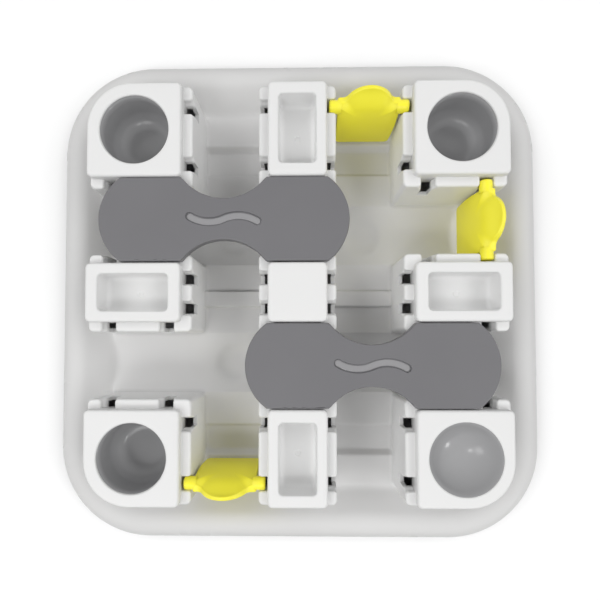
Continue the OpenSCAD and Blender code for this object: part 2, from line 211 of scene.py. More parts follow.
def soft_max(a, b, k):
    """The higher of two surfaces, with a fillet of width k where they meet."""
    h = np.maximum(k - np.abs(a - b), 0) / k
    return np.maximum(a, b) + h * h * k / 4


def tray_height(x, y, u):
    """Height of the tray's upper surface: the lanes' half pipes, ribs and pockets less the dimples, raised
    to the border slope, with a hollow quarter-round fillet against every tower and the base plate under
    it."""
    a, b = np.abs(x), np.abs(y)
    half = (BODY_IN - BODY_MID) / 2
    deep = TROUGH_EDGE - TROUGH_LOW
    pipe_r = (half ** 2 + deep ** 2) / (2 * deep)
    trough = TROUGH_LOW + pipe_r - np.sqrt(pipe_r ** 2 - np.clip(b - LANE, -half, half) ** 2)
    run_out = np.clip((a - OUTER) / TROUGH_RUN_OUT, 0, 1)
    trough = trough + run_out * (np.minimum(trough, FLOOR_Z) - trough)
    rib = softened(b, RIB, reach=0.3)
    pocket = softened(b, POCKET, reach=0.4)
    floor = np.where(b < BODY_MID, rib, np.where(b < BODY_IN, trough, pocket))
    floor = np.where((a > OUTER) & ((b < BODY_MID) | (b > BODY_IN)), FLOOR_Z, floor)
    out = np.hypot(a - LANE, b - LANE) / DIMPLE_R
    floor = floor - DIMPLE_DEEP * np.clip(1 - out ** 4, 0, 1)
    floor = soft_max(floor, FLOOR_Z + (u - SLOPE_U) * math.tan(SLOPE_A), SLOPE_FILLET)
    d = tower_distance(x, y)
    inside = np.clip(TOWER_FILLET - d, 0, TOWER_FILLET)
    floor = floor + TOWER_FILLET - np.sqrt(TOWER_FILLET ** 2 - inside ** 2)
    return np.where(d < -TUCK, PLATE_TOP, floor)


# The floor is a square grid of lines, close together where it bends, that turn round the board's corners.
off_wall = np.array([0, 0.15, 0.4, 0.8, 1.3, 1.8, 2.4])
lane_lines = np.concatenate([BODY_MID + off_wall, np.linspace(BODY_MID + 4.6, BODY_IN - 4.6, 14),
                             BODY_IN - off_wall[::-1]])
flat_lines = np.concatenate([
    [0, 1.8, 3.4, 4.2, 4.7, 5.0, 5.3, 5.7, 6.2, 7.2, 10, 13, 16, 18.2, 19.4, 20.6, 21.4, 22.1],
    lane_lines, [62.2, 62.9, 63.6, 64.3, 65.6, 68, 72, 76, 79.5, 81.8, 82.7, 83.3, 83.8, 84.4, 85.2, 87.5,
                 90.5, 93.5, CORNER_AXIS]])
ring_lines = np.array([98.6, 99.4, 100, 100.6, 101.3, 102.1, 102.7, 103.4, 104.4, 107, 110.5, 114, 117.2,
                       119.2, 120.6, 121.6, *(OUTER + off_wall[:-1]), 124.6])
lines = np.concatenate([flat_lines, ring_lines])
count, first_ring = len(lines), len(flat_lines) - 1
number = np.arange(-(count - 1), count)
NI, NJ = np.meshgrid(np.abs(number), np.abs(number), indexing="ij")
SX, SY = np.meshgrid(np.sign(number), np.sign(number), indexing="ij")
ring_no = np.maximum(NI, NJ)
turn_i, turn_j = np.maximum(NI - first_ring, 0), np.maximum(NJ - first_ring, 0)
in_corner = (turn_i > 0) & (turn_j > 0)
longest = np.maximum(np.maximum(turn_i, turn_j), 1)
bend = math.pi / 4 * np.minimum(turn_i, turn_j) / longest
bend = np.where(turn_i >= turn_j, bend, math.pi / 2 - bend)
reach = lines[ring_no] - CORNER_AXIS
TX = SX * np.where(in_corner, CORNER_AXIS + reach * np.cos(bend), lines[NI])
TY = SY * np.where(in_corner, CORNER_AXIS + reach * np.sin(bend), lines[NJ])
TZ = tray_height(TX, TY, lines[ring_no])
side = len(number)
at = np.arange(side * side).reshape(side, side)
edge = np.concatenate([at[:-1, 0], at[-1, :-1], at[:0:-1, -1], at[0, :0:-1]])

# The slope, the roll and the skirt are rings that leave the floor's edge square to it.
slope_u = np.array([125.1, 125.7, 126.4, 127.4, 128.8, 130.6, 132.6, 134.8])
roll_a = np.linspace(math.pi / 2 + SLOPE_A, 0, 21)
skirt_u = np.full(len(SKIRT_Z), ROLL_U + RIM_ROLL)
ring_u = np.concatenate([slope_u, ROLL_U + RIM_ROLL * np.cos(roll_a), skirt_u])[:, None]
away_x = SX * np.where(in_corner, np.cos(bend), NI == count - 1)
away_y = SY * np.where(in_corner, np.sin(bend), NJ == count - 1)
RX = TX.ravel()[edge] + (ring_u - lines[-1]) * away_x.ravel()[edge]
RY = TY.ravel()[edge] + (ring_u - lines[-1]) * away_y.ravel()[edge]
RZ = tray_height(RX, RY, ring_u)
RZ[len(slope_u):] = np.concatenate([ROLL_Z + RIM_ROLL * np.sin(roll_a), SKIRT_Z])[:, None]
tray_points = np.concatenate([np.stack([TX, TY, TZ], axis=-1).reshape(-1, 3),
                              np.stack([RX, RY, RZ], axis=-1).reshape(-1, 3)])
rings = np.concatenate([edge[None], side * side + np.arange(RX.size).reshape(RX.shape)])
beside = np.roll(rings, -1, axis=1)
ring_quads = np.stack([rings[:-1], rings[1:], beside[1:], beside[:-1]], axis=-1).reshape(-1, 4)
tray_quads = np.stack([at[:-1, :-1], at[1:, :-1], at[1:, 1:], at[:-1, 1:]], axis=-1).reshape(-1, 4)
middle = tray_points[tray_quads].mean(axis=1)
boss_web = (np.abs(middle[:, 0]) > WEB_FROM) & (np.abs(middle[:, 1]) > WEB_FROM)
tray_quads = tray_quads[(tower_distance(middle[:, 0], middle[:, 1]) > -FLOOR_END) | boss_web]
used, tray_quads = np.unique(np.concatenate([tray_quads, ring_quads]), return_inverse=True)
tray = shell("tray_skin", tray_points[used], tray_quads.reshape(-1, 4), tray_white_painted_shade)
thicken(tray, WALL)
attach(tray, "board")
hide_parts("tray")


# Foot bosses and feet
# Under each corner a round boss of the tray's own plastic takes a glued rubber disc.
# The feet are black rubber, cut from sheet, with a worn lower edge. Both are sections of (radius, height).
FOOT_AT = 104.0
BOSS = ((0, 3.45), (7.1, 3.45), (7.1, 2.3), (7.4, 2), (8.7, 2), (9, 2.3), (9, 5.4), (0, 5.4))
FOOT = ((0, 0), (5.9, 0), (6.5, 0.12), (6.85, 0.4), (7, 0.9), (7, 3.4), (0, 3.4))
CORNERS = (("back_left", -1, 1), ("back_right", 1, 1), ("front_left", -1, -1), ("front_right", 1, -1))
black_rubber = plastic("black_rubber_sheet", (0.035, 0.035, 0.036), (0.022, 0.022, 0.022),
                       rough=0.62, drift=0.2, grain=700, skin_deep=0.08)


def band_faces(rows, cols):
    """Quads between neighbouring closed rings of equal count, facing out when the rings run
    anticlockwise seen from above and the rows run upwards on the outside."""
    here = np.arange(rows * cols).reshape(rows, cols)
    there = np.roll(here, -1, axis=1)
    return np.stack([here[:-1], there[:-1], there[1:], here[1:]], axis=-1).reshape(-1, 4)


def turned(section, centre, steps=48):
    """A section of (radius, height) pairs turned about an upright axis; both ends close at a pole
    where their radius is nil. Point (k, a) is the k-th pair at angle a."""
    section = np.asarray(section, float)
    angle = np.linspace(0, 2 * math.pi, steps, endpoint=False)
    x, y = centre[0] + section[:, :1] * np.cos(angle), centre[1] + section[:, :1] * np.sin(angle)
    points = np.stack([x, y, np.repeat(section[:, 1:], steps, axis=1)], axis=-1)
    return points.reshape(-1, 3), band_faces(len(section), steps)


def weld(piece, closed=True):
    """Merges the points that fall together at a pole or a seam; a closed piece's faces turn outwards."""
    work = bmesh.new()
    work.from_mesh(piece.data)
    bmesh.ops.remove_doubles(work, verts=work.verts, dist=1e-6)
    if closed:
        bmesh.ops.recalc_face_normals(work, faces=work.faces)
    work.to_mesh(piece.data)
    work.free()


for place, sx, sy in CORNERS:
    spot = (sx * FOOT_AT, sy * FOOT_AT)
    boss = shell("boss_" + place, *turned(BOSS, spot), tray_white_painted_shade)
    weld(boss)
    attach(boss, "board")
    foot = shell("rubber_foot_" + place, *turned(FOOT, spot), black_rubber)
    weld(foot)
    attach(foot, "board")
    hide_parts("foot_" + place)


# Towers
# Nine hollow white towers. Each has a wall up to a ledge, a narrower top block, and a cup or bowl lined in
# grey as painted shade for its hollow, or a white well, sunk in its top. Notches in the ledges have a round
# seat, side walls as deep as the ledge, and a window below that opens into the hollow tower.
LEDGE_Z, TOP_Z = 49.0, 54.0
MID_HALF, INNER, LEDGE = 17.15, 67.15, 5.5          # faces of the top blocks, depth of the ledges
CORNER_R = OUTER - CORNER_AXIS
AXIS_Z, SEAT_R, WINDOW_HALF, SILL_Z = 46.8, 4.0, 3.05, 34.0
SHOULDER_Z = 41.0                                   # lower edge of a notch's side walls
LEDGE_NEAR, LEDGE_FAR, LEDGE_END = 2.6, 3.8, 6.6    # rows along the ledge, the last inside the top block
NOTCH_FAR, NOTCH_NEAR, NOTCH_MID = 110.25, 76.25, 8.8
WELL_HALF, WELL_R, WELL_LEAST_R = (10.75, 20.25), 2.5, 0.6
GATE_OUT = 2.9                                      # radius round the moulding gate in a well's floor
GATE = ((2.6, 0), (2.2, 0.05), (1.9, 0), (1.6, -0.35), (1.4, -0.45), (0.8, -0.45), (0, -0.45))
SIDE_GAP = 0.4                                      # from a rounded corner to the first station of a side
LEAST_R = 0.5                                       # of a corner, however far a ring is drawn in
ROUND_STEPS, EDGE_STEPS = 26, 8                     # of a wide corner and of a plain edge
TOP_WALL, WALL_EDGE_R = WALL - 0.2, 0.6             # thickness of the top block, round edges of the wall
white_plastic = plastic("glossy_white_moulding", (0.77, 0.77, 0.766), (0.74, 0.74, 0.737),
                        rough=0.30, drift=0.08, grain=1400, skin_deep=0.02, gloss=0.12)
# Grey for the insides of the cups and the bowl: painted shade that darkens their hollows.
grey_lining_painted_shade = plastic("glossy_grey_lining_painted_shade", (0.315, 0.315, 0.32), (0.295, 0.295, 0.30),
                     rough=0.16, drift=0.08, grain=1400, skin_deep=0.02, gloss=0.45)


def ring(low, high, radii, stations, steps):
    """A closed ring round a rectangle with rounded corners, anticlockwise from the +X +Y corner: an arc
    at each corner, then the given stations along the side that follows it (back, left, front, right)."""
    parts = []
    for k, (cx, cy) in enumerate(((1, 1), (0, 1), (0, 0), (1, 0))):
        r = radii[k]
        a = np.linspace(k, k + 1, steps[k] + 1) * math.pi / 2
        mx = (high[0] - r) if cx else (low[0] + r)
        my = (high[1] - r) if cy else (low[1] + r)
        parts.append(np.stack([mx + r * np.cos(a), my + r * np.sin(a)], axis=1))
        run = stations[k]
        fixed = np.full(len(run), (high[1], low[0], low[1], high[0])[k])
        parts.append(np.stack([run, fixed] if k % 2 == 0 else [fixed, run], axis=1))
    return np.concatenate(parts)


def side_spans(low, high, radii):
    """The two ends of each side (back, left, front, right) with the radius of the corner at each: the low
    end, its radius, the high end, its radius."""
    spans = []
    for k, (start, stop) in enumerate(((low[0], high[0]), (low[1], high[1])) * 2):
        before, after = radii[k], radii[(k + 1) % 4]
        spans.append((start, after, stop, before) if k < 2 else (start, before, stop, after))
    return spans


def side_stations(low, high, notches):
    """Stations along one side, about 1.7 mm apart, with a pair at the edges of each notch. A second
    array says how each moves when its notch widens: -1, 0 or +1."""
    apart, clear_inside, clear_outside = 1.7, 1.25, 4
    even = np.linspace(low, high, max(3, int((high - low) / apart)))
    for n in notches:
        off = np.abs(even - n) - SEAT_R
        even = even[(off < -clear_inside) | (off > clear_outside)]
    edges = np.array([n + s * SEAT_R for n in notches for s in (-1, 1)])
    moves = np.array([s for n in notches for s in (-1, 1)], float)
    stations = np.concatenate([even, edges])
    order = np.argsort(stations)
    return stations[order], np.concatenate([np.zeros(len(even)), moves])[order]


def notch_half(z, deep):
    """Half width of a notch at a height and a depth behind the wall's face: the window, then the circle of
    the seat, then the straight notch, wider by a round lip at the ledge and a round mouth at the face."""
    lip_r, mouth_r = 1.2, np.interp(z, [SHOULDER_Z, 43, AXIS_Z], [0.02, 0.5, 2.0])
    seat = np.sqrt(np.maximum(SEAT_R ** 2 - np.minimum(z - AXIS_Z, 0) ** 2, 0))
    lip = lip_r - np.sqrt(lip_r ** 2 - np.clip(z - LEDGE_Z + lip_r, 0, lip_r) ** 2)
    mouth = mouth_r - np.sqrt(mouth_r ** 2 - np.clip(mouth_r - deep, 0, mouth_r) ** 2)
    return np.maximum(seat, WINDOW_HALF) + lip + mouth


def wall_skin(low, high, ledged, notches, radii, steps):
    """A tower's wall and ledge. Rows run up the wall, round its upper edge and in along the ledge; the
    quads between the two edges of a notch are left out from the sill up, and a side wall goes in from
    each edge, from the shoulder's height up to the ledge."""
    edge, clear = 1.5, 7.4
    z_wall = np.array([PLATE_TOP, 14, 22, 29, 32.3, SILL_Z, 38, SHOULDER_Z,
                       42.4, 43.6, 44.3, 45, 45.6, 46.2, AXIS_Z, LEDGE_Z - edge])
    a = np.linspace(0, math.pi / 2, 7)[1:]
    inwards = np.array([0.04, 0.12, 0.25, 0.45, 0.7, 1])
    ledge_in = [*(edge + inwards * (LEDGE_NEAR - edge)), LEDGE_FAR, LEDGE]
    row_z = np.concatenate([z_wall, LEDGE_Z - edge + edge * np.sin(a), np.full(len(ledge_in) + 1, LEDGE_Z)])
    row_in = np.concatenate([0 * z_wall, edge * (1 - np.cos(a)), ledge_in, [LEDGE_END]])
    low, high = np.array(low) - LEDGE * np.array(ledged[:2]), np.array(high) + LEDGE * np.array(ledged[2:])
    made = [side_stations(start + max(start_r, clear), stop - max(stop_r, clear), notches[k])
            for k, (start, start_r, stop, stop_r) in enumerate(side_spans(low, high, radii))]
    flip = [slice(None, None, -1), slice(None, None, -1), slice(None), slice(None)]
    rings, z = [], []
    for z_row, inset in zip(row_z, row_in):
        half = notch_half(z_row, inset)
        run = [(s + m * (half - SEAT_R))[f] for (s, m), f in zip(made, flip)]
        rings.append(ring(low + inset, high - inset, [max(r - inset, LEAST_R) for r in radii], run, steps))
        z.append(np.full(len(rings[-1]), z_row))
    points = np.concatenate([np.stack(rings), np.stack(z)[..., None]], axis=-1)
    opening = np.zeros(points.shape[1], int)
    first = 0
    for k in range(4):
        first += steps[k] + 1
        moves = made[k][1][flip[k]]
        travel = -moves if k < 2 else moves
        inside = np.cumsum(np.where(travel < 0, 1, 0)) - np.cumsum(np.where(travel > 0, 1, 0))
        opening[first:first + len(moves)] = inside
        first += len(moves)
    rows, cols = points.shape[:2]
    quads = band_faces(rows, cols).reshape(rows - 1, cols, 4)
    from_sill = np.arange(rows - 1) >= np.searchsorted(z_wall, SILL_Z)
    keep = ~(from_sill[:, None] & (opening[None, :] > 0))
    parts, faces, count = [points.reshape(-1, 3)], [quads[keep]], rows * cols
    rise = slice(np.searchsorted(z_wall, SHOULDER_Z), len(z_wall) + len(a))
    up, into = row_z[rise, None], row_in[rise, None]
    deep = np.concatenate([into, into + inwards * (LEDGE_NEAR - into), np.full_like(into, LEDGE_FAR),
                           np.full_like(into, LEDGE)], axis=1)
    up = np.repeat(up, deep.shape[1], axis=1)
    grid = np.arange(deep.size).reshape(deep.shape)
    cells = np.stack([grid[:-1, :-1], grid[1:, :-1], grid[1:, 1:], grid[:-1, 1:]], axis=-1).reshape(-1, 4)
    for k in range(4):
        across = (high[1] - deep, low[0] + deep, low[1] + deep, high[0] - deep)[k]
        for n in notches[k]:
            for s in (-1, 1):
                along = n + s * notch_half(up, deep)
                cheek = [along, across, up] if k % 2 == 0 else [across, along, up]
                parts.append(np.stack(cheek, axis=-1).reshape(-1, 3))
                faces.append((cells if (s > 0) == (k > 1) else cells[:, ::-1]) + count)
                count += deep.size
    return np.concatenate(parts), np.concatenate(faces)


def cup_section():
    """The deep cup, from its rounded mouth down a straight wall to a wide fillet and a flat floor."""
    r, deep, mouth, foot = 20.0, 25.0, 1.1, 8.0
    a, b = np.linspace(0, math.pi / 2, 6), np.linspace(0, math.pi / 2, 9)
    radius = np.concatenate([r + mouth - mouth * np.sin(a), [r - 0.1, r - 0.25],
                             r - 0.3 - foot + foot * np.cos(b), [10, 6.5, 3, 0]])
    z = np.concatenate([TOP_Z - mouth + mouth * np.cos(a), [TOP_Z - 7, TOP_Z - 13],
                        TOP_Z - deep + foot - foot * np.sin(b), [TOP_Z - deep] * 4])
    return radius, z


def bowl_section():
    """The shallow bowl: a part of a sphere with a small rounded mouth."""
    half, deep = 20.5, 11.0
    full = (half ** 2 + deep ** 2) / (2 * deep)
    rho = np.concatenate([np.linspace(19.6, 2, 15), [0]])
    z = TOP_Z - deep + full - np.sqrt(full ** 2 - rho ** 2)
    return (np.concatenate([[21.9, 21.4, 20.95, 20.5, 20.05], rho]),
            np.concatenate([[TOP_Z, TOP_Z - 0.06, TOP_Z - 0.24, TOP_Z - 0.55, TOP_Z - 0.92], z]))


def well_section():
    """The well: (inset from its outline, height) of its rounded mouth, straight wall and floor fillet."""
    deep, mouth, foot = 14.0, 1.0, 3.0
    a, b = np.linspace(0, math.pi / 2, 6), np.linspace(0, math.pi / 2, 7)
    inset = np.concatenate([-mouth + mouth * np.sin(a), [0.12], 0.2 + foot - foot * np.cos(b)])
    z = np.concatenate([TOP_Z - mouth + mouth * np.cos(a), [TOP_Z - 6],
                        TOP_Z - deep + foot - foot * np.sin(b)])
    return inset, z


def well_rings(centre, half, inset, sides, steps):
    """A well's rings, one at each inset from its outline. The stations along its sides draw together where
    a ring's straight sides are shorter than the outline's."""
    rings = []
    for i in inset:
        r = max(WELL_R - i, WELL_LEAST_R)
        scale = np.minimum(1, (half - i - r - 0.1) / (half - WELL_R - SIDE_GAP))
        run = [centre[k % 2] + (s - centre[k % 2]) * scale[k % 2] for k, s in enumerate(sides)]
        rings.append(ring(centre - half + i, centre + half - i, [r] * 4, run, steps))
    return rings


def top_skin(low, high, kind, radii, steps):
    """A tower's top block: rows run up its wall, round the top edge, across the top to the mouth of its
    cup, bowl or well, and down inside to a pole at the middle of the floor. Across the top, each point
    of the outer ring moves straight to the point of the mouth in the same direction. The number that
    comes with the points is the last row of the white plastic."""
    low, high = np.array(low), np.array(high)
    edge, apart, wall_in = 1.7, 1.3, 0.02
    made = []
    for k, (start, start_r, stop, stop_r) in enumerate(side_spans(low, high, radii)):
        start, stop = start + start_r + SIDE_GAP, stop - stop_r - SIDE_GAP
        run = np.linspace(start, stop, max(3, int((stop - start) / apart)))
        made.append(run[::-1] if k < 2 else run)
    a = np.linspace(0, math.pi / 2, 7)[1:]
    wall_z = [SHOULDER_Z, LEDGE_Z + 0.6, TOP_Z - 2.6, TOP_Z - edge]
    row_z = np.concatenate([wall_z, TOP_Z - edge + edge * np.sin(a)])
    row_in = np.concatenate([np.full(len(wall_z), wall_in), edge * (1 - np.cos(a))])
    rings = [ring(low + i, high - i, [max(r - i, LEAST_R) for r in radii], made, steps) for i in row_in]
    z = list(row_z)
    centre = (low + high) / 2
    rim = rings[-1]
    aim = (rim - centre) / np.linalg.norm(rim - centre, axis=1)[:, None]
    if kind in ("cup", "bowl"):
        radius, depth = cup_section() if kind == "cup" else bowl_section()
        inner = [centre + aim * r for r in radius]
    elif kind == "well":
        inset, depth = well_section()
        half = np.array(WELL_HALF if (high - low)[0] < (high - low)[1] else WELL_HALF[::-1])
        shrink = (half - WELL_R - SIDE_GAP) / ((high - low) / 2 - EDGE_R - SIDE_GAP)
        run = [(centre[k % 2] + (s - centre[k % 2]) * shrink[k % 2]) for k, s in enumerate(made)]
        inner = well_rings(centre, half, inset, run, steps)
        last = inner[-1]
        aim = (last - centre) / np.linalg.norm(last - centre, axis=1)[:, None]
        gate_r, gate_z = np.transpose(GATE)
        inner += [last + (centre + aim * GATE_OUT - last) * t for t in (0.3, 0.6, 1)]
        inner += [centre + aim * r for r in gate_r]
        depth = np.concatenate([depth, [depth[-1]] * 3, depth[-1] + gate_z])
    else:
        inner = [centre + (rim - centre) * t for t in (0.75, 0.5, 0.25, 0.08, 0)]
        depth = np.full(len(inner), TOP_Z)
    if kind != "plain":
        rings += [rim + (inner[0] - rim) * t for t in (0.25, 0.5, 0.75)]
        z += [TOP_Z] * 3
    rings += inner
    z += list(depth)
    heights = np.repeat(np.array(z)[:, None, None], len(rim), axis=1)
    points = np.concatenate([np.stack(rings), heights], axis=-1)
    white_inside = {"cup": 5, "bowl": 2}.get(kind, len(inner) - 1)
    return points, len(rings) - len(inner) + white_inside


def tower(node, column, row, kind):
    """One tower from its place in the grid: its wall skin, its top skin and the grey lining of its cup or
    bowl, which is painted shade for the hollow, each with a wall's thickness."""
    faces = ((-OUTER, -INNER), (-MID_HALF, MID_HALF), (INNER, OUTER))
    low, high = (faces[column][0], faces[row][0]), (faces[column][1], faces[row][1])
    ledged = (column > 0, row > 0, column < 2, row < 2)
    pairs = ((-NOTCH_FAR, -NOTCH_NEAR), (-NOTCH_MID, NOTCH_MID), (NOTCH_NEAR, NOTCH_FAR))
    notches = (pairs[column] if row < 2 else (), pairs[row] if column > 0 else (),
               pairs[column] if row > 0 else (), pairs[row] if column < 2 else ())
    wide = [(column, row) == corner for corner in ((2, 2), (0, 2), (0, 0), (2, 0))]
    radii = [CORNER_R if w else EDGE_R for w in wide]
    steps = [ROUND_STEPS if w else EDGE_STEPS for w in wide]
    body = shell(node + "_wall", *wall_skin(low, high, ledged, notches, radii, steps), white_plastic)
    weld(body, closed=False)
    thicken(body, WALL)
    soften(body, WALL_EDGE_R)
    points, last = top_skin(low, high, kind, radii, steps)
    tops = [(node + "_top", points[:last + 1], white_plastic),
            (node + "_" + kind, points[last:], grey_lining_painted_shade)]
    pieces = [body]
    for name, rows, finish in tops if kind in ("cup", "bowl") else tops[:1]:
        pieces.append(shell(name, rows.reshape(-1, 3), band_faces(*rows.shape[:2]), finish))
        weld(pieces[-1], closed=False)
        thicken(pieces[-1], TOP_WALL)
    for piece in pieces:
        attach(piece, "board")
    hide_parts(node)


tower("tower_back_left", 0, 2, "cup")
tower("tower_back_middle", 1, 2, "well")
tower("tower_back_right", 2, 2, "cup")
tower("tower_middle_left", 0, 1, "well")
tower("tower_centre", 1, 1, "plain")
tower("tower_middle_right", 2, 1, "well")
tower("tower_front_left", 0, 0, "cup")
tower("tower_front_middle", 1, 0, "well")
tower("tower_front_right", 2, 0, "bowl")


# Covers
# Two dumbbell covers that lie loose on the ledges over a lane and slide along it.
# Grey plastic with a satin face, rounded edges and a wavy finger groove in the waist, whose floor is
# painted a lighter grey as sheen.
COVER_R, COVER_HALF, COVER_WIDE = 30.0, 42.5, 24.3  # end circles: radius, axis; half width
WAIST_Y, WAIST_R = 42.36, 30.3                      # hollow arcs of the waist: axis and radius
WAIST_END, LOBE_START = -39.2, 23.21                # where an arc meets a lobe: its angle, the half width
COVER_LOW = 49.15
# Section of the strip on the groove's floor that carries the painted sheen.
SHEEN_STRIP = ((0.6, -1.3), (0.5, -1.25), (0.5, -1.15), (0.75, -1.05), (1.3, -1.0))    # (inset, height)
grey_plastic = plastic("satin_grey_moulding", (0.162, 0.160, 0.168), (0.138, 0.136, 0.144),
                       rough=0.36, drift=0.12, grain=1100, skin_deep=0.05)
# The groove's strip: a lighter grey than the cover, which is painted sheen; its lower roughness is real
# gloss.
groove_grey_painted_sheen = plastic("grey_groove_painted_sheen", (0.30, 0.297, 0.305), (0.24, 0.237, 0.245),
                      rough=0.14, drift=0.06, grain=1100, skin_deep=0.01)


def mirrored(quarter):
    """A closed outline from its first quarter, which runs from the +Y axis to the +X axis: the quarter is
    mirrored in X, turned half round and mirrored again, without the points on the axes twice."""
    right = np.concatenate([quarter, (quarter[::-1] * [1, -1])[1:]])
    left = (right * [-1, -1])[1:-1]
    return np.concatenate([right, left])[::-1]


def drawn_in(path, inset):
    """A closed outline moved inwards by an inset, along the normals of its chords' mean direction."""
    ahead, behind = np.roll(path, -1, axis=0) - path, path - np.roll(path, 1, axis=0)
    along = ahead / np.linalg.norm(ahead, axis=1)[:, None]
    along = along + behind / np.linalg.norm(behind, axis=1)[:, None]
    along /= np.linalg.norm(along, axis=1)[:, None]
    return path + inset * np.stack([-along[:, 1], along[:, 0]], axis=1)


def carried(path, section):
    """A section of (inset, height) pairs carried round a closed anticlockwise outline."""
    rings = np.stack([drawn_in(path, i) for i, _ in section])
    z = np.repeat(np.array([h for _, h in section], float)[:, None, None], len(path), axis=1)
    points = np.concatenate([rings, z], axis=-1)
    return points.reshape(-1, 3), band_faces(*points.shape[:2])


def filled(points, loops):
    """Triangles of a flat face inside the first loop of point numbers and outside the others, facing up."""
    corners = np.concatenate(loops)
    cut = tessellate_polygon([[Vector((*points[n][:2], 0)) for n in loop] for loop in loops])
    tris = corners[np.array(cut)]
    a, b, c = (points[tris[:, k], :2] for k in range(3))
    turn = (b - a)[:, 0] * (c - a)[:, 1] - (b - a)[:, 1] * (c - a)[:, 0]
    return np.where(turn[:, None] > 0, tris, tris[:, ::-1])


def cover_outline():
    """The quarter from the waist to the tip: hollow arc, end circle, flat, end circle."""
    hollow = np.radians(np.linspace(-90, WAIST_END, 24))
    lift = math.asin(COVER_WIDE / COVER_R)
    lobe_in = np.linspace(math.pi - math.asin(LOBE_START / COVER_R), math.pi - lift, 5)[1:]
    lobe_out = np.linspace(lift, 0, 30)
    waist = np.stack([WAIST_R * np.cos(hollow), WAIST_Y + WAIST_R * np.sin(hollow)], axis=1)
    before = np.stack([COVER_HALF + COVER_R * np.cos(lobe_in), COVER_R * np.sin(lobe_in)], axis=1)
    flat_x = np.linspace(before[-1, 0], COVER_HALF + COVER_R * math.cos(lift), 14)[1:-1]
    flat = np.stack([flat_x, np.full(len(flat_x), COVER_WIDE)], axis=1)
    tip = np.stack([COVER_HALF + COVER_R * np.cos(lobe_out), COVER_R * np.sin(lobe_out)], axis=1)
    return mirrored(np.concatenate([waist, before, flat, tip]))


def wave_outline():
    """The groove: two arcs of radius 21 that meet at the middle of the waist, 2.4 mm to each side of the
    line, closed by half circles at both ends."""
    r, half, slope, turn = 21.0, 2.4, 23.5, 32.0
    a = np.radians(np.linspace(90 + slope, 90 - turn, 30))
    right = r * np.stack([np.cos(a) - np.cos(a[0]), np.sin(a) - np.sin(a[0])], axis=1)
    line = np.concatenate([(-right[::-1])[:-1], right])
    along = np.gradient(line, axis=0)
    along /= np.linalg.norm(along, axis=1)[:, None]
    across = np.stack([-along[:, 1], along[:, 0]], axis=1)
    t = np.linspace(0, math.pi, 11)[1:-1, None]
    end = line[-1] + half * (-across[-1] * np.cos(t) + along[-1] * np.sin(t))
    start = line[0] + half * (across[0] * np.cos(t) - along[0] * np.sin(t))
    return np.concatenate([line - half * across, end, (line + half * across)[::-1], start])


def cover(node, body, x, y):
    """A cover at its place: the outer section carried round the outline, the groove's section carried
    round the wave, and flat fillings for the top, the groove's floor and the underside. A glossy strip of
    lighter grey, which is painted sheen, is made in the same way and lies on the groove's floor."""
    a = np.linspace(0, math.pi / 2, 6)
    edge, lip = 0.9, 0.4
    outer = [(0.35, COVER_LOW), (0.1, COVER_LOW + 0.1), (0, COVER_LOW + 0.35)]
    outer += [(edge * (1 - math.cos(t)), TOP_Z - edge + edge * math.sin(t)) for t in a]
    groove = [(-lip + lip * math.sin(t), TOP_Z - lip + lip * math.cos(t)) for t in a]
    groove += [(0.05, TOP_Z - 0.95), (0.15, TOP_Z - 1.12), (0.35, TOP_Z - 1.2)]
    path, wave = cover_outline(), wave_outline()
    side_points, side_faces = carried(path, outer)
    groove_points, groove_faces = carried(wave, groove)
    points = np.concatenate([side_points, groove_points])
    n, m, sides = len(path), len(wave), len(side_points)
    under = filled(points, [np.arange(n)])[:, ::-1]
    top = filled(points, [np.arange(sides - n, sides), sides + np.arange(m)])
    floor = filled(points, [np.arange(len(points) - m, len(points))])
    faces = [*side_faces.tolist(), *(groove_faces + sides).tolist(), *under.tolist(), *top.tolist(),
             *floor.tolist()]
    plate = shell(node + "_plate", points + [x, y, 0], faces, grey_plastic)
    even_shading(plate)
    points, strip_faces = carried(wave, [(inset, TOP_Z + height) for inset, height in SHEEN_STRIP])
    under = filled(points, [np.arange(m)])[:, ::-1]
    top = filled(points, [np.arange(len(points) - m, len(points))])
    faces = [*strip_faces.tolist(), *under.tolist(), *top.tolist()]
    strip = shell(node + "_groove", points + [x, y, 0], faces, groove_grey_painted_sheen)
    for made in (plate, strip):
        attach(made, body)
    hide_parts(node)


cover("cover_back", "back_cover", -COVER_HALF, LANE)
cover("cover_front", "front_cover", COVER_HALF, -LANE)


# Flaps
# Three flaps that hang across a lane by two trunnions in the tower notches and swing under a paw.
# Yellow plastic, moulded in one piece: a blade, a round thumb tab above it and a stub on each side. The
# front swells towards the axis, level with the stubs there.
PIN_R, PIN_END, PIN_START = 3.8, 23.5, 16.3         # stubs: radius, outer and inner end
BLADE_T, BLADE_OFF, BLADE_L = 2.5, 2.55, 33.5       # blade: thickness, place behind the axis, length
TAB_R, TAB_UP = 14.5, -1.6                          # tab: radius, height of its centre above the axis
FRONT_MIDDLE = -8                                   # height at which the rings of the front close
LEAN = math.radians(11.7)
yellow_plastic = plastic("satin_yellow_moulding", (0.95, 0.875, 0.04), (0.91, 0.835, 0.036),
                         rough=0.30, drift=0.10, grain=1200, skin_deep=0.04)


